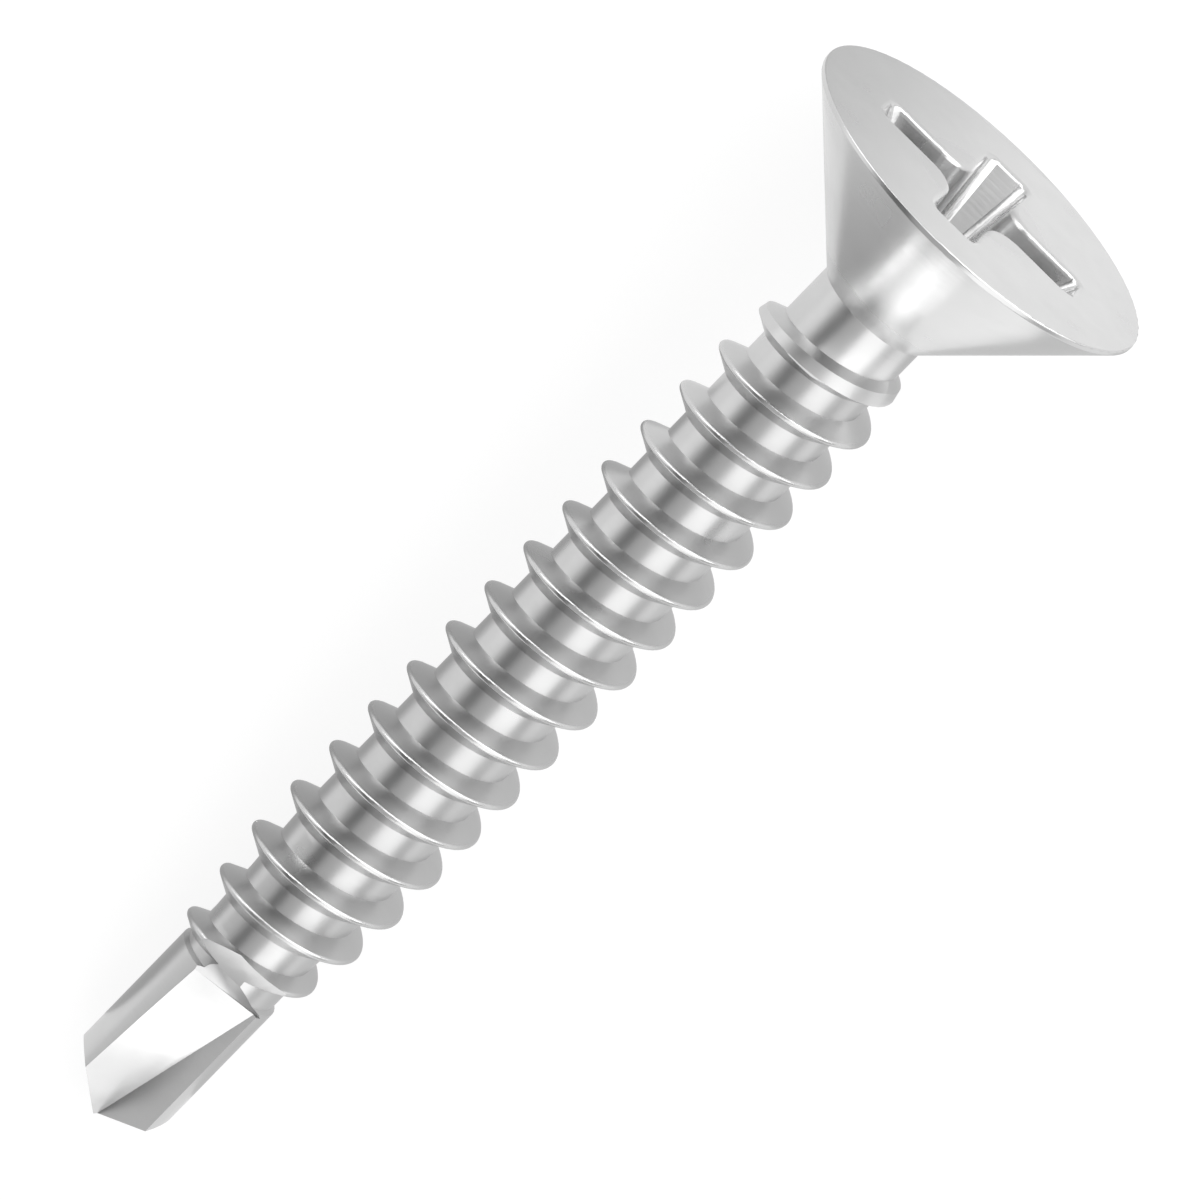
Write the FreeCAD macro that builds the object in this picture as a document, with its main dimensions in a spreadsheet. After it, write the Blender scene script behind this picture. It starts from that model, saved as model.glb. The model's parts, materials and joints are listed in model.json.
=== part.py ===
# Self-drilling tapping screw: countersunk head, cross recess, coarse single-start thread, drill point.
#
# The screw is drawn along its own axis, with the flat face of the head at depth 0 and the point at
# the overall length. In that drawing X is the right side and Y the front, and an azimuth is counted
# from the front towards the right. The finished body is then laid down the way a loose screw comes
# to rest: on the rim of its head and on a crest near the end of its thread, with its front upwards.
# Millimetres and degrees.

import FreeCAD, Part
import math
import os

import Sketcher

SIZES = {
    # Head: a flat face, a narrow rim and a cone straight down to the shank
    "head_dia": 10.0,
    "rim_height": 0.13,
    "rim_round": 0.04,
    "head_height": 3.85,
    # Shank: a straight core that narrows over its last turns to a neck above the drill
    "overall_length": 32.0,
    "core_dia": 3.02,
    "plain_length": 0.6,
    "taper_length": 4.2,
    "neck_length": 1.0,
    "neck_dia": 2.68,
    # Thread: a V ridge with a rounded crest, one start, right hand, steeper towards the head
    "thread_dia": 4.16,
    "thread_pitch": 1.4,
    "flank_angle_up": 26.0,
    "flank_angle_down": 34.0,
    "crest_round": 0.08,
    "root_depth": 0.35,
    # The ridge rises from the plain part under the head, steeply to a knee and then gently
    "thread_start": 0.16,
    "lead_in_start": 0.1,
    "lead_in_knee": 0.45,
    "lead_in_knee_dia": 3.58,
    "lead_in_length": 2.15,
    # Over its last turns the ridge sinks into the core, at this angle, down to the drill
    "tail_turns": 2.0,
    "tail_angle": 9.4,
    # Drill: a short shoulder and a straight body, ground to two end faces that meet on the axis
    "drill_dia": 2.9,
    "drill_length": 5.0,
    "shoulder_height": 0.05,
    "point_half_angle": 47.9,
    "point_azimuth": 108.3,
    # Flutes: a cutting wall along a radius and a slanted clearing wall, which meet in a valley line
    "flute_length": 4.85,
    "flute_wall_azimuth": 57.8,
    "flute_valley": 1.34,
    "flute_web": 0.1,
    "flute_edge_top": -25.9,
    "flute_edge_tip": -41.0,
    # Each flute's run-out, where the cutter leaves through the last turn: three flats, each given by
    # its distance above the flute, its depth from the axis and the azimuth that it faces
    "sweep_low_depth": 1.02,
    "sweep_low_azimuth": 19.3,
    "sweep_mid_rise": 0.45,
    "sweep_mid_depth": 1.28,
    "sweep_mid_azimuth": 2.0,
    "sweep_high_rise": 1.1,
    "sweep_high_depth": 1.37,
    "sweep_high_azimuth": 12.0,
    # Cross recess: four tapered wings, flared corners between them and a blunt conical bottom
    "recess_span": 6.28,
    "recess_wing": 1.3,
    "recess_depth": 2.5,
    "recess_end_taper": 26.5,
    "recess_side_taper": 5.75,
    "recess_turn": 1.0,
    "recess_flare": 0.8,
    "recess_corner": 0.28,
    "recess_edge": 0.16,
    "recess_bottom_dia": 1.6,
    "recess_bottom_height": 0.5,
}

# Places along the axis that several features share
DRILL_TOP = "(Sizes.overall_length - Sizes.drill_length)"
FLUTE_TOP = "(Sizes.overall_length - Sizes.flute_length)"
THREAD_TOP = "(Sizes.head_height + Sizes.plain_length)"
RIDGE_TOP = f"({THREAD_TOP} - Sizes.thread_start)"
FULL_TURNS = f"floor(({DRILL_TOP} - {RIDGE_TOP}) / Sizes.thread_pitch - Sizes.tail_turns)"
TAIL_TOP = f"({RIDGE_TOP} + {FULL_TURNS} * Sizes.thread_pitch)"

# The ridge starts on the left, so it passes the back a quarter turn later, and in each turn again
BACK_OF_TURN = 0.25

# How far a cutting profile reaches past the surface that it crosses, and how far a root is buried
PAST = 0.3
FAR_PAST = 1.5
BURIED = 0.1

# Points nearer than this count as one, where edges are picked by their place
TOUCH = 0.001

# The cutter of a flute clears the drill on its open side: it reaches this share of the drill's
# diameter from the axis, and its slanted wall runs on to this many times its length
CUTTER_REACH = 0.9
CUTTER_OUTER_REACH = 1.2
CUTTER_OUTER_AZIMUTH = 10
CUTTER_WALL_RUN = 2.2


def make_sheet(doc):
    """The driving sizes, one alias a cell."""
    sheet = doc.addObject("Spreadsheet::Sheet", "Sizes")
    for row, (alias, value) in enumerate(SIZES.items(), start=1):
        sheet.set(f"A{row}", alias)
        sheet.set(f"B{row}", str(value))
        sheet.setAlias(f"B{row}", alias)
    doc.recompute()
    return sheet


def origin_of(body, role):
    return next(feature for feature in body.Origin.OriginFeatures if feature.Role == role)


def screw_axis(body):
    return (origin_of(body, "Z_Axis"), [""])


def new_sketch(body, role, name, depth=None, turn=None):
    """A sketch on an origin plane of its body, at a depth along the axis or turned about the axis."""
    sketch = body.newObject("Sketcher::SketchObject", name)
    sketch.AttachmentSupport = [(origin_of(body, role), "")]
    sketch.MapMode = "FlatFace"
    if depth:
        sketch.setExpression("AttachmentOffset.Base.z", depth)
    if turn:
        about_axis = FreeCAD.Rotation(FreeCAD.Vector(0, 1, 0), number(sketch, turn))
        sketch.AttachmentOffset = FreeCAD.Placement(FreeCAD.Vector(), about_axis)
        sketch.setExpression("AttachmentOffset.Rotation.Angle", turn)
    return sketch


def number(item, formula):
    """What a formula of the sheet comes to, as a plain number."""
    value = item.evalExpression(formula)
    return float(getattr(value, "Value", value))


def point(sketch, formulas):
    return FreeCAD.Vector(number(sketch, formulas[0]), number(sketch, formulas[1]), 0)


def pin(sketch, geometry, end, formulas):
    """Holds one end of a line at a pair of formulas, or on a sketch axis where a formula is 0."""
    for kind, axis, formula in zip(("DistanceX", "DistanceY"), (-2, -1), formulas):
        if formula == "0":
            sketch.addConstraint(Sketcher.Constraint("PointOnObject", geometry, end, axis))
            continue
        distance = Sketcher.Constraint(kind, -1, 1, geometry, end, number(sketch, formula))
        sketch.setExpression(f"Constraints[{sketch.addConstraint(distance)}]", formula)


def outline(sketch, corners):
    """A closed outline of straight lines, with each corner held at its own pair of formulas."""
    points = [point(sketch, corner) for corner in corners]
    lines = [
        sketch.addGeometry(Part.LineSegment(here, there), False)
        for here, there in zip(points, points[1:] + points[:1])
    ]
    for corner, line, before in zip(corners, lines, lines[-1:] + lines[:-1]):
        sketch.addConstraint(Sketcher.Constraint("Coincident", before, 2, line, 1))
        pin(sketch, line, 1, corner)


def add_feature(body, kind, name, **settings):
    """A feature with its plain settings; the document is computed so that the next can build on it."""
    feature = body.newObject(f"PartDesign::{kind}", name)
    for setting, value in settings.items():
        setattr(feature, setting, value)
    body.Document.recompute()
    return feature


def turned(body, kind, profile, name):
    """A full turn of a profile about the screw's axis: a Revolution adds it and a Groove cuts it."""
    return add_feature(body, kind, name, Profile=profile, ReferenceAxis=screw_axis(body), Angle=360)


def cut_between(body, sections, name):
    """Cuts what lies between two or three sections, with straight walls from one to the next."""
    return add_feature(
        body, "SubtractiveLoft", name, Profile=sections[0], Sections=sections[1:], Ruled=True
    )


def soften(body, base, name, radius, edges):
    """Rounds the chosen edges, with the radius bound to the sheet."""
    fillet = body.newObject("PartDesign::Fillet", name)
    fillet.Base = (base, edges)
    fillet.setExpression("Radius", f"Sizes.{radius}")
    body.Document.recompute()
    return fillet


def edges_where(shape, test):
    return [f"Edge{place}" for place, edge in enumerate(shape.Edges, start=1) if test(edge)]


def ridge_profile(sketch, middle, sunk):
    """The thread's V section on the left of the axis, rooted in the core and rounded at its crest."""
    crest = f"({sunk} - Sizes.thread_dia / 2)"
    depth = "(Sizes.thread_dia / 2 - Sizes.core_dia / 2 + Sizes.root_depth)"

    def flank(side, sign):
        """Where a flank ends in the core and where the round of the crest touches it."""
        angle = f"Sizes.flank_angle_{side}"
        inset = f"Sizes.crest_round * (1 - sin({angle}))"
        rise = f"Sizes.crest_round * cos({angle})"
        half_root = f"({rise} + ({depth} - {inset}) * tan({angle}))"
        return (
            (f"{crest} + {depth}", f"{middle} {sign} {half_root}"),
            (f"{crest} + {inset}", f"{middle} {sign} {rise}"),
        )

    root_up, round_up = flank("up", "-")
    root_down, round_down = flank("down", "+")
    a, b, c, d = [point(sketch, corner) for corner in (root_up, root_down, round_down, round_up)]
    top = point(sketch, (crest, middle))
    pieces = [Part.LineSegment(a, b), Part.LineSegment(b, c), Part.Arc(c, top, d), Part.LineSegment(d, a)]
    root, down, crown, up = [sketch.addGeometry(piece, False) for piece in pieces]
    for line, corner in ((root, root_up), (down, root_down), (up, round_up)):
        pin(sketch, line, 1, corner)
    pin(sketch, down, 2, round_down)
    first, last = (1, 2) if sketch.Geometry[crown].StartPoint.isEqual(c, 1e-6) else (2, 1)
    for here, there in (
        ((root, 2), (down, 1)),
        ((crown, first), (down, 2)),
        ((crown, last), (up, 1)),
        ((up, 2), (root, 1)),
    ):
        sketch.addConstraint(Sketcher.Constraint("Coincident", *here, *there))
    radius = Sketcher.Constraint("Radius", crown, number(sketch, "Sizes.crest_round"))
    sketch.setExpression(f"Constraints[{sketch.addConstraint(radius)}]", "Sizes.crest_round")


def add_helix(body, name, middle, height, sunk="0", angle=None):
    """Winds the V section about the axis over a height, on a cylinder or on a cone that narrows."""
    profile = new_sketch(body, "XZ_Plane", f"{name}_profile")
    ridge_profile(profile, middle, sunk)
    helix = add_feature(
        body, "AdditiveHelix", name,
        Profile=profile, ReferenceAxis=screw_axis(body), Mode="pitch-height-angle",
    )
    helix.setExpression("Pitch", "Sizes.thread_pitch")
    helix.setExpression("Height", height)
    if angle:
        helix.setExpression("Angle", angle)
    body.Document.recompute()


def make_ridge(doc):
    """The helical ridge by itself, faded in under the head and sinking into the core at its tail."""
    body = doc.addObject("PartDesign::Body", "ridge")
    add_helix(body, "helix", RIDGE_TOP, f"{FULL_TURNS} * Sizes.thread_pitch")
    # the tail is wound one turn at a time, each from where the last one ended
    length = f"({DRILL_TOP} + {PAST} - {TAIL_TOP})"
    for turn in range(math.ceil(number(body, f"{length} / Sizes.thread_pitch"))):
        wound = f"({turn} * Sizes.thread_pitch)"
        add_helix(
            body, f"tail_{turn + 1}",
            middle=f"({TAIL_TOP} + {wound})",
            height=f"min(Sizes.thread_pitch; {length} - {wound})",
            sunk=f"{wound} * tan(Sizes.tail_angle)",
            angle="-Sizes.tail_angle",
        )

    crest, clear = "Sizes.thread_dia / 2 + Sizes.crest_round", "Sizes.thread_dia"
    inside = f"Sizes.core_dia / 2 - {PAST}"
    lead_in = new_sketch(body, "XZ_Plane", "lead_in_profile")
    outline(
        lead_in,
        [
            (inside, f"{THREAD_TOP} - {FAR_PAST}"),
            (inside, f"{THREAD_TOP} + Sizes.lead_in_start"),
            ("Sizes.lead_in_knee_dia / 2", f"{THREAD_TOP} + Sizes.lead_in_knee"),
            (crest, f"{THREAD_TOP} + Sizes.lead_in_length"),
            (clear, f"{THREAD_TOP} + Sizes.lead_in_length"),
            (clear, f"{THREAD_TOP} - {FAR_PAST}"),
        ],
    )
    turned(body, "Groove", lead_in, "lead_in")

    stop = new_sketch(body, "XZ_Plane", "thread_stop_profile")
    outline(
        stop,
        [
            ("Sizes.neck_dia / 2", DRILL_TOP),
            ("Sizes.neck_dia / 2", f"{DRILL_TOP} + {FAR_PAST}"),
            (clear, f"{DRILL_TOP} + {FAR_PAST}"),
            (clear, DRILL_TOP),
        ],
    )
    turned(body, "Groove", stop, "thread_stop")
    return body


def make_blank(body):
    """The turned form: head, plain shank and neck, closed inside the drill."""
    profile = new_sketch(body, "XZ_Plane", "blank_profile")
    outline(
        profile,
        [
            ("0", "0"),
            ("Sizes.head_dia / 2", "0"),
            ("Sizes.head_dia / 2", "Sizes.rim_height"),
            ("Sizes.core_dia / 2", "Sizes.head_height"),
            ("Sizes.core_dia / 2", f"{DRILL_TOP} - Sizes.taper_length"),
            ("Sizes.neck_dia / 2", f"{DRILL_TOP} - Sizes.neck_length"),
            ("Sizes.neck_dia / 2", f"{DRILL_TOP} + Sizes.shoulder_height"),
            ("0", f"{DRILL_TOP} + Sizes.shoulder_height"),
        ],
    )
    blank = turned(body, "Revolution", profile, "blank")
    rim_end = number(body, "Sizes.rim_height") + TOUCH
    rim = edges_where(blank.Shape, lambda edge: edge.BoundBox.ZMax < rim_end)
    soften(body, blank, "rim", "rim_round", rim)


def add_drill(body):
    """The drill's shoulder and straight body, as long as the screw before its point is ground."""
    profile = new_sketch(body, "XZ_Plane", "drill_profile")
    outline(
        profile,
        [
            ("0", f"{DRILL_TOP} - {BURIED}"),
            (f"Sizes.neck_dia / 2 - {BURIED}", f"{DRILL_TOP} - {BURIED}"),
            ("Sizes.drill_dia / 2", f"{DRILL_TOP} + Sizes.shoulder_height"),
            ("Sizes.drill_dia / 2", "Sizes.overall_length"),
            ("0", "Sizes.overall_length"),
        ],
    )
    turned(body, "Revolution", profile, "drill")


def grind_point(body):
    """Two flat end faces that meet in a short chisel edge on the axis."""
    wide, past = "Sizes.drill_dia", f"Sizes.overall_length + {FAR_PAST}"
    shallow = f"Sizes.overall_length - {wide} / tan(Sizes.point_half_angle)"
    profile = new_sketch(body, "XZ_Plane", "point_profile", turn="90 - Sizes.point_azimuth")
    outline(
        profile,
        [
            ("0", "Sizes.overall_length"),
            (wide, shallow),
            (wide, past),
            (f"-{wide}", past),
            (f"-{wide}", shallow),
        ],
    )
    add_feature(body, "Pocket", "point", Profile=profile, Type="ThroughAll", Midplane=True)


def flute_section(sketch, valley, edge):
    """Across a flute: from the valley out along the cutting wall, round, and back down the other."""
    def spot(radius, azimuth):
        return f"({radius}) * sin({azimuth})", f"({radius}) * cos({azimuth})"

    valley_spot = spot(valley, "Sizes.flute_wall_azimuth")
    edge_spot = spot("Sizes.drill_dia / 2", edge)
    wall_end = [
        f"{start} + {CUTTER_WALL_RUN} * ({end} - {start})" for start, end in zip(valley_spot, edge_spot)
    ]
    outline(
        sketch,
        [
            valley_spot,
            spot(f"Sizes.drill_dia * {CUTTER_REACH}", "Sizes.flute_wall_azimuth"),
            spot(f"Sizes.drill_dia * {CUTTER_OUTER_REACH}", f"{CUTTER_OUTER_AZIMUTH}"),
            wall_end,
        ],
    )


def sweep_section(sketch, depth, azimuth):
    """Across the run-out: everything beyond a flat at one depth that faces one azimuth."""
    half, clear = "Sizes.drill_dia / 2", f"Sizes.drill_dia * {CUTTER_REACH}"

    def spot(outwards, across):
        return (
            f"({outwards}) * sin({azimuth}) + ({across}) * cos({azimuth})",
            f"({outwards}) * cos({azimuth}) - ({across}) * sin({azimuth})",
        )

    outline(sketch, [spot(depth, f"-{half}"), spot(depth, half), spot(clear, half), spot(clear, f"-{half}")])


def cut_flutes(body):
    """One flute and its run-out through the thread, repeated on the opposite side."""
    fall = "(Sizes.flute_valley - Sizes.flute_web) / Sizes.flute_length"
    top = new_sketch(body, "XY_Plane", "flute_top", depth=FLUTE_TOP)
    flute_section(top, "Sizes.flute_valley", "Sizes.flute_edge_top")
    tip = new_sketch(body, "XY_Plane", "flute_tip", depth=f"Sizes.overall_length + {PAST}")
    flute_section(tip, f"Sizes.flute_web - {PAST} * {fall}", "Sizes.flute_edge_tip")
    flute = cut_between(body, [top, tip], "flute")

    flats = []
    for stage, rise in (("low", "0"), ("mid", "Sizes.sweep_mid_rise"), ("high", "Sizes.sweep_high_rise")):
        flat = new_sketch(body, "XY_Plane", f"sweep_{stage}", depth=f"{FLUTE_TOP} - {rise}")
        sweep_section(flat, f"Sizes.sweep_{stage}_depth", f"Sizes.sweep_{stage}_azimuth")
        flats.append(flat)
    sweep = cut_between(body, flats, "flute_sweep")

    pair = add_feature(
        body, "PolarPattern", "flutes",
        Originals=[flute, sweep], Axis=screw_axis(body), Angle=360, Occurrences=2,
    )
    body.Tip = pair
    body.Document.recompute()


def cross_outline(sketch, reach, half):
    """A cross of four wings, each as long as its reach and twice its half wide, turned on the axis."""
    turn = "Sizes.recess_turn"
    quarter = [(reach, f"-({half})"), (reach, half), (half, half)]
    corners = []
    for swing in (0, 90, 180, 270):
        for x, y in quarter:
            angle = f"({turn} + {swing})"
            corners.append(
                (f"({x}) * cos{angle} - ({y}) * sin{angle}", f"({x}) * sin{angle} + ({y}) * cos{angle}")
            )
    outline(sketch, corners)


def cut_recess(body):
    """The driver's recess: a tapered cross with rounded corners and edges, and a conical bottom."""
    reach, half, depth = "Sizes.recess_span / 2", "Sizes.recess_wing / 2", "Sizes.recess_depth"
    mouth = new_sketch(body, "XY_Plane", "recess_mouth")
    cross_outline(mouth, reach, half)
    floor = new_sketch(body, "XY_Plane", "recess_floor", depth=depth)
    cross_outline(
        floor,
        f"{reach} - {depth} * tan(Sizes.recess_end_taper)",
        f"{half} - {depth} * tan(Sizes.recess_side_taper)",
    )
    recess = cut_between(body, [mouth, floor], "recess")

    deep, inside, outside, clear_of_rim = [
        number(body, formula)
        for formula in (depth, f"2 * {half}", reach, f"({reach} + Sizes.head_dia / 2) / 2")
    ]

    def wall_corner_radius(edge):
        """How far from the axis an edge down the wall starts at the mouth; None for any other edge."""
        ends = sorted(edge.Vertexes, key=lambda vertex: vertex.Z)
        if len(ends) != 2 or abs(ends[0].Z) > TOUCH or abs(ends[1].Z - deep) > TOUCH:
            return None
        return math.hypot(ends[0].X, ends[0].Y)

    def is_inner(edge):
        radius = wall_corner_radius(edge)
        return radius is not None and radius < inside

    def is_outer(edge):
        radius = wall_corner_radius(edge)
        return radius is not None and radius > outside

    def is_mouth(edge):
        box = edge.BoundBox
        return abs(box.ZMax) < TOUCH and max(box.XMax, -box.XMin, box.YMax, -box.YMin) < clear_of_rim

    flares = soften(body, recess, "recess_flares", "recess_flare", edges_where(recess.Shape, is_inner))
    soften(body, flares, "recess_corners", "recess_corner", edges_where(flares.Shape, is_outer))

    bottom = new_sketch(body, "XZ_Plane", "recess_bottom_profile")
    radius = "Sizes.recess_bottom_dia / 2"
    outline(
        bottom,
        [
            ("0", f"{depth} - {BURIED}"),
            (radius, f"{depth} - {BURIED}"),
            (radius, depth),
            ("0", f"{depth} + Sizes.recess_bottom_height"),
        ],
    )
    cone = turned(body, "Groove", bottom, "recess_bottom")
    soften(body, cone, "recess_edges", "recess_edge", edges_where(cone.Shape, is_mouth))


def lay_down(body):
    """Rests the screw on its head's rim and on the crest that reaches lowest, head towards +X."""
    radius = "Sizes.head_dia / 2"

    def slope_to(turns):
        """The slope of a line from the rim to a crest at the back, this many turns past the tail's top."""
        along = f"({turns + BACK_OF_TURN} * Sizes.thread_pitch)"
        crest = f"(Sizes.thread_dia / 2 - max(0; {along}) * tan(Sizes.tail_angle))"
        return f"({radius} - {crest}) / ({TAIL_TOP} + {along} - Sizes.rim_height)"

    lean = f"atan(min({slope_to(-1)}; {slope_to(0)}; {slope_to(1)}))"
    head_at = f"(Sizes.overall_length * cos({lean}) - {radius} * sin({lean})) / 2"
    height = f"{radius} * cos({lean}) + Sizes.rim_height * sin({lean})"
    body.setExpression(
        "Placement", f"placement(vector({head_at}; 0; {height}); rotation(-90; 0; 90 + {lean} / 1 deg))"
    )
    body.Document.recompute()


def make_screw(doc, ridge):
    body = doc.addObject("PartDesign::Body", "screw")
    body.Label = "screw"
    make_blank(body)
    thread = body.newObject("PartDesign::Boolean", "thread")
    thread.Type = "Fuse"
    thread.setObjects([ridge])
    doc.recompute()
    add_drill(body)
    grind_point(body)
    cut_flutes(body)
    cut_recess(body)
    lay_down(body)
    return body


def check(doc, body):
    """Stops before anything is written if a feature failed or the screw isn't one sound solid."""
    failed = [item.Name for item in doc.Objects if {"Invalid", "Error"} & set(item.State)]
    if failed:
        raise RuntimeError(f"failed: {failed}")
    shape = body.Shape
    if shape.isNull() or not shape.isValid() or len(shape.Solids) != 1:
        raise RuntimeError(f"{body.Label} isn't one sound solid")
    for item in doc.Objects:
        if item.isDerivedFrom("PartDesign::Feature"):
            print(f"{item.Name}: {item.Shape.Volume:.3f} mm3")
    print(f"{body.Label}: {len(shape.Faces)} faces, {shape.Volume:.2f} mm3, placed {body.Placement}")


doc = FreeCAD.newDocument("tapping_screw")
make_sheet(doc)
screw = make_screw(doc, make_ridge(doc))
check(doc, screw)
os.makedirs("parts", exist_ok=True)
screw.Shape.exportStep(f"parts/{screw.Label}.step")
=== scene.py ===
# %% [markdown]
# A self-drilling tapping screw on a white table
#
# The screw comes in as a fixed frame: its shape and size are right already, in metres, and it lies
# on the rim of its head and on its thread. This lesson gives it the skin of bright zinc, a white
# table, soft light and a camera that looks down on it along the line of the reference picture.

# %% Load the screw
import json
import math

import bmesh
import bpy
from mathutils import Matrix, Vector

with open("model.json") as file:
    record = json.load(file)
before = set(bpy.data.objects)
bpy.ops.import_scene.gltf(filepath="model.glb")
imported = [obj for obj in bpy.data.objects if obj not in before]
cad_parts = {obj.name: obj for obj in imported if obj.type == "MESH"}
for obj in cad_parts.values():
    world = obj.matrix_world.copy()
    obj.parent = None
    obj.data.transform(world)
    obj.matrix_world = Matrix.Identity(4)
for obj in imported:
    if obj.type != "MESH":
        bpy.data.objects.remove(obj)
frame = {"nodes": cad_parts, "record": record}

MM = 0.001
scene = bpy.context.scene
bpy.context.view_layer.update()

# %% [markdown]
# The camera
#
# The picture shows the screw along its diagonal, from above, with the head at the top right and
# its face just in sight. It could be framed by hand, but a screw is all axis: once the direction
# of its axis is known, two angles, one scale and the place of the head give the whole view. The
# frame states that axis at the recess. The lens is very long, because in the picture the far turns
# of the thread are as wide as the near ones.

# %% The screw's own directions
mounts = {mount["name"]: mount for mount in frame["record"]["mounts"]}
recess, thread = mounts["drive_recess"], mounts["thread"]
head_centre = Vector(recess["pos_m"])
towards_head = Vector(recess["axis"]).normalized()
across = towards_head.cross(Vector((0, 0, 1))).normalized()     # to the screw's right, seen from above
upwards = across.cross(towards_head).normalized()               # square to the axis, away from the table
print("the axis rises", round(math.degrees(math.asin(towards_head.z)), 2), "degrees to the head")

# %% The line of sight
SCREW_LENGTH = 32.0 * MM
FACE_TILT = math.radians(18)      # the sight leans so far from square-on towards the head
AXIS_IN_PIXELS = 1285             # the axis in the picture, from the head's face to the point

pixel = SCREW_LENGTH * math.cos(FACE_TILT) / AXIS_IN_PIXELS
sight = math.cos(FACE_TILT) * upwards + math.sin(FACE_TILT) * towards_head
print("the camera stands", round(math.degrees(math.asin(sight.z)), 1), "degrees above the table,",
      round(MM / pixel, 2), "pixels to the millimetre")

# %% The picture's own directions
AXIS_SLOPE = math.radians(45.76)  # the axis in the picture, above the horizontal

along = (towards_head - towards_head.dot(sight) * sight).normalized()
picture_x = math.cos(AXIS_SLOPE) * along + math.sin(AXIS_SLOPE) * across
picture_y = math.sin(AXIS_SLOPE) * along - math.cos(AXIS_SLOPE) * across
print("the picture's right is", [round(part, 3) for part in picture_x], "and its top",
      [round(part, 3) for part in picture_y])

# %% Place the camera
PICTURE = 1200                    # pixels, its width and its height
HEAD_AT = (982.6, 198.0)          # pixels from its left and its top to the middle of the head's face
LENS, SENSOR = 900.0, 36.0        # mm

aim = (head_centre - (HEAD_AT[0] - PICTURE / 2) * pixel * picture_x
       - (PICTURE / 2 - HEAD_AT[1]) * pixel * picture_y)
distance = PICTURE * pixel * LENS / SENSOR

camera = bpy.data.objects.new("camera", bpy.data.cameras.new("camera"))
scene.collection.objects.link(camera)
camera.data.lens = LENS
camera.data.sensor_width = SENSOR
camera.data.clip_start = distance / 10
camera.data.clip_end = distance * 10
turn = Matrix((picture_x, picture_y, sight)).transposed()
camera.matrix_world = Matrix.Translation(aim + distance * sight) @ turn.to_4x4()
scene.camera = camera
print("the camera is", round(distance, 3), "m away")

# %% [markdown]
# Working with materials
#
# Colours are picked on screen as sRGB hex values, but a shader adds up light, so every colour is
# turned to linear first. A node is added with its settings and its links in one call, which keeps
# each material short enough to read as a recipe.

# %% From a screen colour to light
def linear(hex_colour):
    """An sRGB hex colour as the linear RGBA that a shader socket takes."""
    channels = [int(hex_colour[digit:digit + 2], 16) / 255 for digit in (1, 3, 5)]
    return [c / 12.92 if c <= 0.04045 else ((c + 0.055) / 1.055) ** 2.4 for c in channels] + [1.0]


print("the screen's middle grey #808080 is", round(linear("#808080")[0], 3), "in light")


# %% A node in one call
def add_node(material, kind, settings, links=()):
    """Adds a node, sets its sockets by name and its other settings, and links outputs to it."""
    tree = material.node_tree
    node = tree.nodes.new(kind)
    for name, value in settings.items():
        if isinstance(name, int) or name in node.inputs:
            node.inputs[name].default_value = value
        else:
            setattr(node, name, value)
    for socket, output in links:
        tree.links.new(output, node.inputs[socket])
    return node


def new_material(name):
    """A material with no nodes in it yet."""
    material = bpy.data.materials.new(name)
    material.use_nodes = True
    material.node_tree.nodes.clear()
    print("new material:", name)
    return material


# %% [markdown]
# Bright zinc on cold-formed steel
#
# A self-drilling screw starts as wire. Its head is struck cold in a die, its thread is rolled
# between flat dies, and the drill point is pinched out of the end. Then it is hardened and plated
# with a few thousandths of a millimetre of bright zinc. The plating levels the steel, so that the
# screw looks smooth and silvery, with soft reflections rather than mirror ones. What is left of its
# making is faint: fine rings that the dies drew round the axis, the grain of the zinc, patches that
# came out of the bath a little duller, and thread crests that rub shiny in the box.
#
# It could be one metal shader at one roughness, but then nothing tells the eye how small the screw
# is. A photograph would do it, but it would stretch over the flanks. So each trace is a pattern in
# the screw's own coordinates, in millimetres, and all of them stay faint.

# %% Coordinates that run with the screw
zinc = new_material("bright_zinc_plated_steel")
to_screw = Matrix((across, upwards, -towards_head))     # its Z is the depth below the head's face
coordinates = add_node(zinc, "ShaderNodeTexCoord", {})
in_mm = add_node(zinc, "ShaderNodeMapping", {
    "Scale": (1 / MM, 1 / MM, 1 / MM), "Rotation": to_screw.to_euler("XYZ"),
    "Location": -(to_screw @ head_centre) / MM,
}, [("Vector", coordinates.outputs["Object"])])
xyz = add_node(zinc, "ShaderNodeSeparateXYZ", {}, [("Vector", in_mm.outputs["Vector"])])
off_axis = add_node(zinc, "ShaderNodeCombineXYZ", {}, [("X", xyz.outputs["X"]), ("Y", xyz.outputs["Y"])])
radius = add_node(zinc, "ShaderNodeVectorMath", {"operation": "LENGTH"}, [
    ("Vector", off_axis.outputs["Vector"]),
])
print("the patterns start at the head's face, which is", round(head_centre.z / MM, 2), "mm above the table")

# %% [markdown]
# Rings from the dies
#
# Dies and tools turn about the axis, so a mark that they leave keeps its depth and its radius all
# the way round. A wave texture draws rings too, but evenly, and tool marks are never even. Noise
# that is read in two dimensions, radius and depth, gives uneven rings on the head's face, on the
# cone and on the core alike.

# %% Rings
RING_SPACING = 0.12      # mm; the real marks are a third of that, too fine for the picture
RING_DEPTH = 0.0014      # mm

profile = add_node(zinc, "ShaderNodeCombineXYZ", {}, [
    ("X", radius.outputs["Value"]), ("Y", xyz.outputs["Z"]),
])
rings = add_node(zinc, "ShaderNodeTexNoise", {
    "noise_dimensions": "2D", "Scale": 1 / RING_SPACING, "Detail": 2.0, "Roughness": 0.5,
}, [("Vector", profile.outputs["Vector"])])
print("rings", RING_SPACING, "mm apart and", RING_DEPTH, "mm deep")

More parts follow.
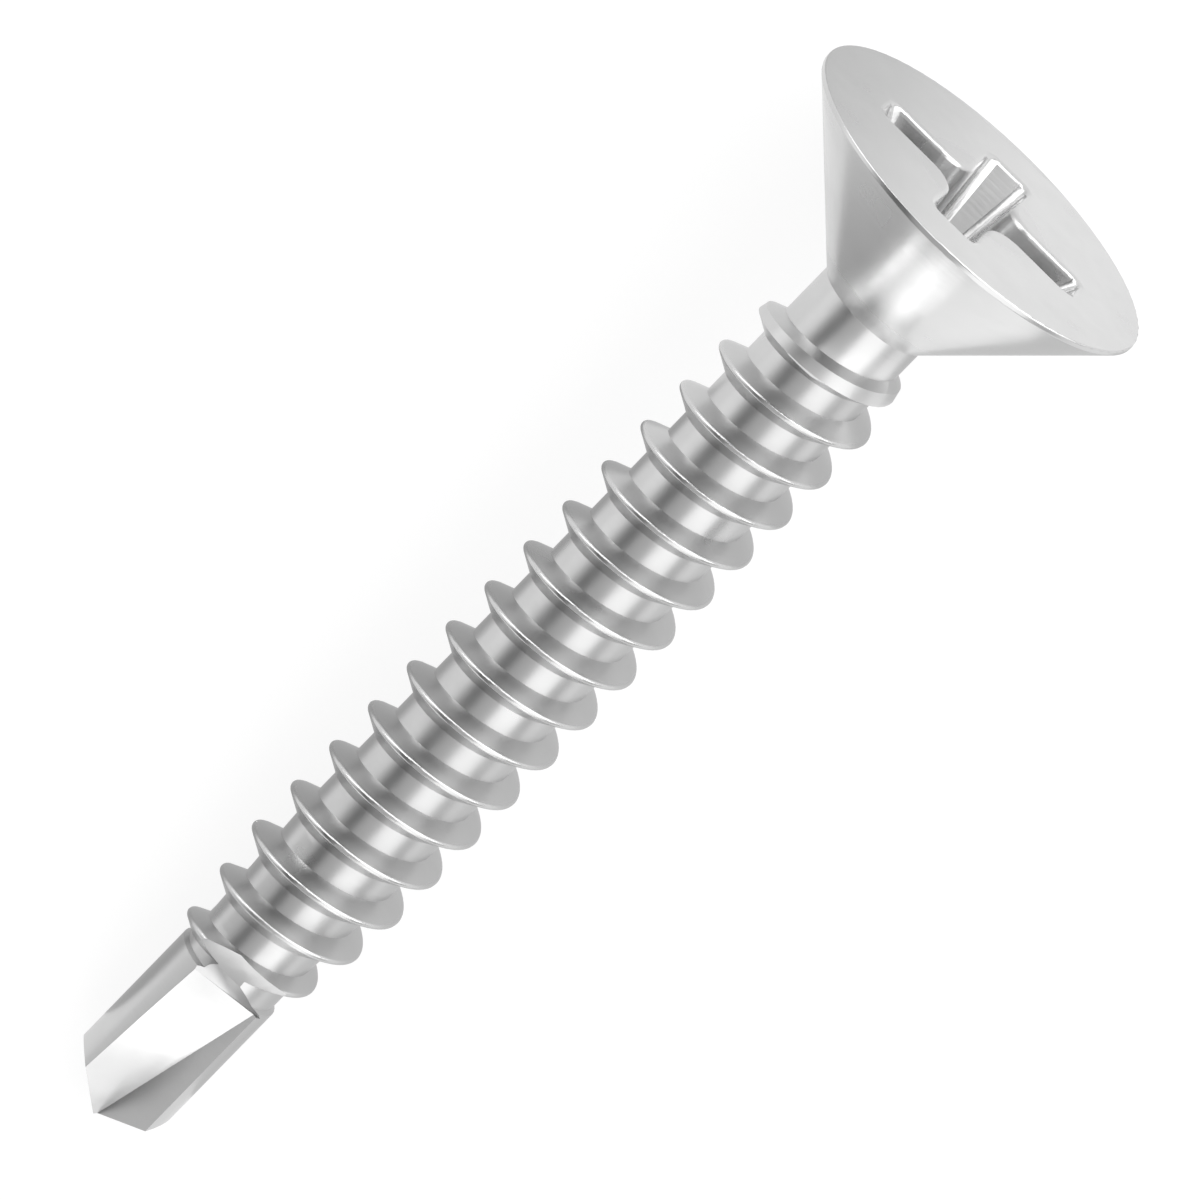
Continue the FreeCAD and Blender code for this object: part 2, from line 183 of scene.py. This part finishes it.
# %% [markdown]
# Grain of the plating
#
# Zinc grows on the steel in crystals, and a brightener in the bath keeps them too small to see. All
# that they leave is a soft sparkle. Painted specks would stay put when the light moves, so the grain
# is a height, and a bump turns it and the rings into slopes.

# %% Grain
GRAIN = 0.09             # mm; real bright zinc is far finer and wouldn't show in the picture
GRAIN_DEPTH = 0.0003     # mm

grain = add_node(zinc, "ShaderNodeTexNoise", {
    "noise_dimensions": "3D", "Scale": 1 / GRAIN, "Detail": 2.0, "Roughness": 0.55,
}, [("Vector", in_mm.outputs["Vector"])])
grain_bump = add_node(zinc, "ShaderNodeBump", {"Strength": 1.0, "Distance": GRAIN_DEPTH * MM}, [
    ("Height", grain.outputs["Fac"]),
])
ring_bump = add_node(zinc, "ShaderNodeBump", {"Strength": 1.0, "Distance": RING_DEPTH * MM}, [
    ("Height", rings.outputs["Fac"]), ("Normal", grain_bump.outputs["Normal"]),
])
print("grain", GRAIN, "mm wide and", GRAIN_DEPTH, "mm high")

# %% [markdown]
# Duller patches and rubbed crests
#
# A barrel of screws is plated at once, and where two of them touch, the coat comes out a little
# duller and darker. Later they rub on each other in the box, and the crests of the thread take that
# rubbing. Both could be painted by hand, but a soft noise places the patches, and the distance from
# the axis finds the crests on every turn.

# %% Patches
PATCH = 1.6              # mm across
SHINIEST, DULLEST = 0.27, 0.35
LIGHT_ZINC, DARK_ZINC = "#cdcdcd", "#c5c5c5"

patches = add_node(zinc, "ShaderNodeTexNoise", {
    "noise_dimensions": "3D", "Scale": 1 / PATCH, "Detail": 3.0, "Roughness": 0.6,
}, [("Vector", in_mm.outputs["Vector"])])
dullness = add_node(zinc, "ShaderNodeMapRange", {
    "From Min": 0.3, "From Max": 0.7, "To Min": SHINIEST, "To Max": DULLEST,
}, [("Value", patches.outputs["Fac"])])
tone = add_node(zinc, "ShaderNodeMix", {
    "data_type": "RGBA", 6: linear(LIGHT_ZINC), 7: linear(DARK_ZINC),
}, [(0, patches.outputs["Fac"])])
print("patches", PATCH, "mm wide, roughness", SHINIEST, "to", DULLEST)

# %% Crests
RUB_START, RUB_FULL = 0.12, 0.02       # mm under the top of the crest
RUB = 0.07                             # rubbing takes so much off the roughness

crest = thread["dims"]["r_mm"]         # its top, from the axis
rubbed = add_node(zinc, "ShaderNodeMapRange", {
    "From Min": crest - RUB_START, "From Max": crest - RUB_FULL, "To Min": 0.0, "To Max": RUB,
}, [("Value", radius.outputs["Value"])])
roughness = add_node(zinc, "ShaderNodeMath", {"operation": "SUBTRACT"}, [
    (0, dullness.outputs["Result"]), (1, rubbed.outputs["Result"]),
])
print("the crests end", crest, "mm off the axis and are rubbed over their last", RUB_START, "mm")

# %% Put the skin on
skin = add_node(zinc, "ShaderNodeBsdfPrincipled", {"Metallic": 1.0}, [
    ("Base Color", tone.outputs[2]), ("Roughness", roughness.outputs["Value"]),
    ("Normal", ring_bump.outputs["Normal"]),
])
add_node(zinc, "ShaderNodeOutputMaterial", {}, [("Surface", skin.outputs["BSDF"])])
screw = frame["nodes"]["screw"]
screw.material_slots[0].material = zinc
print("plated", len(screw.data.polygons), "facets of the screw, in", len(zinc.node_tree.nodes), "nodes")

# %% [markdown]
# The white table
#
# The reference picture is cut out on pure white. A table that is lit up to white would flood the
# metal with light. So the table is grey card, and it glows where the camera or a reflection meets
# it: its glow and what the lamps throw on its grey add up to white. Where the screw keeps the light
# off, the grey gets less of it, and that leaves a soft shadow.

# %% A sheet of card
TABLE_REACH = 0.6        # metres from the screw to each edge

surface = bmesh.new()
bmesh.ops.create_grid(surface, x_segments=1, y_segments=1, size=TABLE_REACH)
table_mesh = bpy.data.meshes.new("table")
surface.to_mesh(table_mesh)
surface.free()
table = bpy.data.objects.new("table", table_mesh)
scene.collection.objects.link(table)
print("the table is", 2 * TABLE_REACH, "m square")

# %% Matt card with its glow
CARD_GREY = "#828282"
GLOW = 0.80

paper = new_material("white_card")
rays = add_node(paper, "ShaderNodeLightPath", {})
seen_or_mirrored = add_node(paper, "ShaderNodeMath", {"operation": "MAXIMUM"}, [
    (0, rays.outputs["Is Camera Ray"]), (1, rays.outputs["Is Glossy Ray"]),
])
seen = add_node(paper, "ShaderNodeMath", {"operation": "MAXIMUM"}, [
    (0, seen_or_mirrored.outputs["Value"]), (1, rays.outputs["Is Transmission Ray"]),
])
matt = add_node(paper, "ShaderNodeBsdfDiffuse", {"Color": linear(CARD_GREY)})
glow = add_node(paper, "ShaderNodeEmission", {"Color": (1, 1, 1, 1), "Strength": GLOW})
both = add_node(paper, "ShaderNodeAddShader", {}, [
    (0, matt.outputs["BSDF"]), (1, glow.outputs["Emission"]),
])
card = add_node(paper, "ShaderNodeMixShader", {}, [
    ("Fac", seen.outputs["Value"]), (1, matt.outputs["BSDF"]), (2, both.outputs["Shader"]),
])
add_node(paper, "ShaderNodeOutputMaterial", {}, [("Surface", card.outputs["Shader"])])
table.data.materials.append(paper)
print("the card is", CARD_GREY, "and glows at", GLOW)

# %% [markdown]
# Light
#
# Bright metal has hardly any colour of its own: it shows what stands around it. So the light is
# built as a studio for silverware, and each lamp or sheet is there for one mark on the metal. A
# ready-made room picture would light the screw too, but nobody could say which lamp gives which
# line. The room itself is an even pale grey.

# %% The room
ROOM = 0.6

world = bpy.data.worlds.new("studio")
scene.world = world
world.use_nodes = True
world.node_tree.nodes["Background"].inputs["Color"].default_value = (1, 1, 1, 1)
world.node_tree.nodes["Background"].inputs["Strength"].default_value = ROOM
print("the room is at", ROOM, "of white")

# %% Places round the screw
middle = head_centre - SCREW_LENGTH / 2 * towards_head


def direction(lateral, axial):
    """A direction from the screw: degrees from straight above, to its right and towards its head."""
    sideways, lengthways = math.tan(math.radians(lateral)), math.tan(math.radians(axial))
    return (upwards + sideways * across + lengthways * towards_head).normalized()


def from_head(to_head, to_right, up):
    """The place that lies so many millimetres from the middle of the head's face."""
    return head_centre + MM * (to_head * towards_head + to_right * across + up * upwards)


def stand(centre, facing, run):
    """The place of a flat thing that looks along a direction, with its length along another."""
    side = run.cross(facing).normalized()
    turned = Matrix((side, facing.cross(side), facing)).transposed()
    return Matrix.Translation(centre) @ turned.to_4x4()


print("the middle of the screw is", round(middle.z / MM, 2), "mm above the table")

# %% [markdown]
# Softboxes
#
# A photographer lights silverware with large soft lamps, because metal shows the lamp itself. A long
# one on the right draws a bright band down the core and the drill. A wide one beyond the head's end
# puts the thin white line on the crests, the rim and the edges of the recess. A weak one low on the
# left lights that side of the thread, and stops short of the drill. Point lamps would leave hot dots
# instead. A lamp adds its light to the room that is seen behind it, so all of them stay low.

# %% A rectangular lamp
WATTS_FOR_WHITE = 4      # per square metre: what makes the face of a lamp look white


def add_softbox(name, centre, facing, run, brightness, size):
    """A lamp of so many millimetres; a brightness of 1 looks white in a mirror."""
    width, length = (side * MM for side in size)
    lamp = bpy.data.lights.new(name, "AREA")
    lamp.shape = "RECTANGLE"
    lamp.size, lamp.size_y = width, length
    lamp.energy = WATTS_FOR_WHITE * brightness * width * length
    holder = bpy.data.objects.new(name, lamp)
    holder.matrix_world = stand(centre, -facing, run)
    scene.collection.objects.link(holder)
    print(name, "gives", round(1000 * lamp.energy, 3), "mW")


# %% Three large ones
right, beyond, far_left = direction(41, 0), direction(0, 68), direction(-70, 0)
add_softbox("long_softbox", centre=middle + 70 * MM * right, facing=-right, run=towards_head,
            brightness=0.82, size=(60, 300))
add_softbox("end_softbox", centre=middle + 120 * MM * beyond, facing=-beyond, run=across,
            brightness=1.5, size=(85, 600))
add_softbox("left_softbox", centre=from_head(30, 0, 0) + 100 * MM * far_left, facing=-far_left,
            run=towards_head, brightness=0.5, size=(60, 176))

# %% [markdown]
# Small lamps for the flute and the cone
#
# Two places look where no large lamp can be. The near flute of the drill mirrors what stands low at
# the screw's right beyond its point, so a panel stands there and turns it white. The cone under the
# head mirrors the shank, which would draw a dark band down its middle. Two small lamps by the neck,
# one at its side and one above it, face the cone and lift that band. The camera sees no lamp.

# %% Three small ones
add_softbox("drill_panel", centre=from_head(-42, 14, 7), facing=-across, run=towards_head,
            brightness=0.65, size=(14, 14))
add_softbox("cone_side_light", centre=from_head(-5.6, 3.6, 0.95), facing=towards_head, run=upwards,
            brightness=0.33, size=(3.75, 4.9))
add_softbox("cone_top_light", centre=from_head(-5.6, 0.4, 2.6), facing=towards_head, run=upwards,
            brightness=0.6, size=(2.75, 1.7))

# %% [markdown]
# A grey card for the dark line
#
# A round bar looks round when a dark line runs beside its bright band. In a studio that line is the
# mirror image of a card that keeps the room off the metal. Here it is a strip of grey felt on the
# left. It is hidden from the camera and from matt surfaces and it throws no shadow, so that it shows
# in the metal alone.

# %% A sheet that only reflections see
def add_reflector(name, centre, facing, run, size, material):
    """A flat sheet of so many millimetres that shows in the metal alone."""
    width, length = (side * MM for side in size)
    sheet = bmesh.new()
    bmesh.ops.create_grid(sheet, x_segments=1, y_segments=1, size=0.5)      # one metre square
    bmesh.ops.scale(sheet, vec=(width, length, 1), verts=sheet.verts)
    bmesh.ops.transform(sheet, matrix=stand(centre, facing, run), verts=sheet.verts)
    mesh = bpy.data.meshes.new(name)
    sheet.to_mesh(mesh)
    sheet.free()
    mesh.materials.append(material)
    reflector = bpy.data.objects.new(name, mesh)
    scene.collection.objects.link(reflector)
    reflector.visible_camera = reflector.visible_diffuse = reflector.visible_shadow = False
    print(name, "is", [round(side, 1) for side in size], "mm")


# %% The grey card
FELT_GREY = "#a2a2a2"

felt = new_material("grey_felt")     # matt all over, so it stays one grey from every side
cloth = add_node(felt, "ShaderNodeBsdfDiffuse", {"Color": linear(FELT_GREY)})
add_node(felt, "ShaderNodeOutputMaterial", {}, [("Surface", cloth.outputs["BSDF"])])
left = direction(-31, 0)
add_reflector("dark_card", centre=middle + 40 * MM * left, facing=-left, run=towards_head,
              size=(17, 300), material=felt)

# %% [markdown]
# Glowing sheets on the table, seen only in the metal
#
# The flanks of the thread, the cone and the head's face look at the table close by. On plain white
# they would all turn white and lose their edges. Three sheets lie there that glow by themselves,
# though nothing lights them and they are no lamps. They are hidden from the camera and from matt
# surfaces, so they are painted reflections, and their brightness runs smoothly from the screw's left
# to its right. The first lies before the head and paints its face from grey to light. The second
# lies beside the cone and keeps its left edge light. The third is dark at the left and paints the
# cone's dark band and the flanks' grey. One sheet per place could be painted as a picture, but a few
# stops on a ramp do the same.

# %% A sheet that glows by itself, for painted reflections
BRIGHTEST = 2.0          # a ramp's colours end at 1, so the emission takes them up to this


def reflection_only_glow(name, stops):
    """A self-glowing sheet, a painted reflection, whose brightness runs through these stops, in millimetres
    across the screw.
    """
    glow_sheet_material = new_material(name)
    coordinates = add_node(glow_sheet_material, "ShaderNodeTexCoord", {})
    lateral = add_node(glow_sheet_material, "ShaderNodeVectorMath", {"operation": "DOT_PRODUCT", 1: across}, [
        (0, coordinates.outputs["Object"]),
    ])
    first, last = stops[0][0], stops[-1][0]
    share = add_node(glow_sheet_material, "ShaderNodeMapRange", {"From Min": first * MM, "From Max": last * MM}, [
        ("Value", lateral.outputs["Value"]),
    ])
    ramp = add_node(glow_sheet_material, "ShaderNodeValToRGB", {}, [("Fac", share.outputs["Result"])])
    ramp.color_ramp.interpolation = "B_SPLINE"
    elements = ramp.color_ramp.elements         # a new ramp has two
    for index, (millimetres, brightness) in enumerate(stops):
        position = (millimetres - first) / (last - first)
        stop = elements[index] if index < 2 else elements.new(position)
        stop.position = position
        stop.color = (*[brightness / BRIGHTEST] * 3, 1)
    # the sheet glows on its own though no lamp lights it: painted reflection light for the metal
    shine = add_node(glow_sheet_material, "ShaderNodeEmission", {"Strength": BRIGHTEST}, [
        ("Color", ramp.outputs["Color"]),
    ])
    add_node(glow_sheet_material, "ShaderNodeOutputMaterial", {}, [("Surface", shine.outputs["Emission"])])
    return glow_sheet_material


# %% Three sheets, by how far they lie below the head's face
SHEET_WIDTH = 18         # mm, from the first stop to the last
HAIR = 0.3 * MM          # above the table, so that the two don't touch
UP = Vector((0, 0, 1))
along_table = Vector((towards_head.x, towards_head.y, 0)).normalized()

# each sheet's stops paint the reflection that part of the metal shows: its greys, dark band and light edge
for name, start, end, stops in (
    ("face_sheet", -9.0, -0.4, [(-9, 0.68), (-3.5, 0.8), (1, 1.25), (9, 1.05)]),
    ("near_sheet", 0.4, 9.0, [(-9, 1.05), (-3, 1.0), (3, 0.65), (9, 0.8)]),
    ("far_sheet", 9.0, 30.0, [(-9, 0.95), (-5, 0.35), (-2, 0.6), (3, 0.75), (9, 1.0)]),
):
    place = head_centre - (start + end) / 2 * MM * along_table
    add_reflector(name, centre=Vector((place.x, place.y, HAIR)), facing=UP, run=along_table,
                  size=(SHEET_WIDTH, end - start), material=reflection_only_glow("reflection_only_glow_" + name, stops))

# %% [markdown]
# The finished picture
#
# The Standard view shows each colour as it is written, so the table stays white and the greys can be
# compared with the reference. A film-like view would look softer, but it would grey the white.

# %% View
scene.view_settings.view_transform = "Standard"
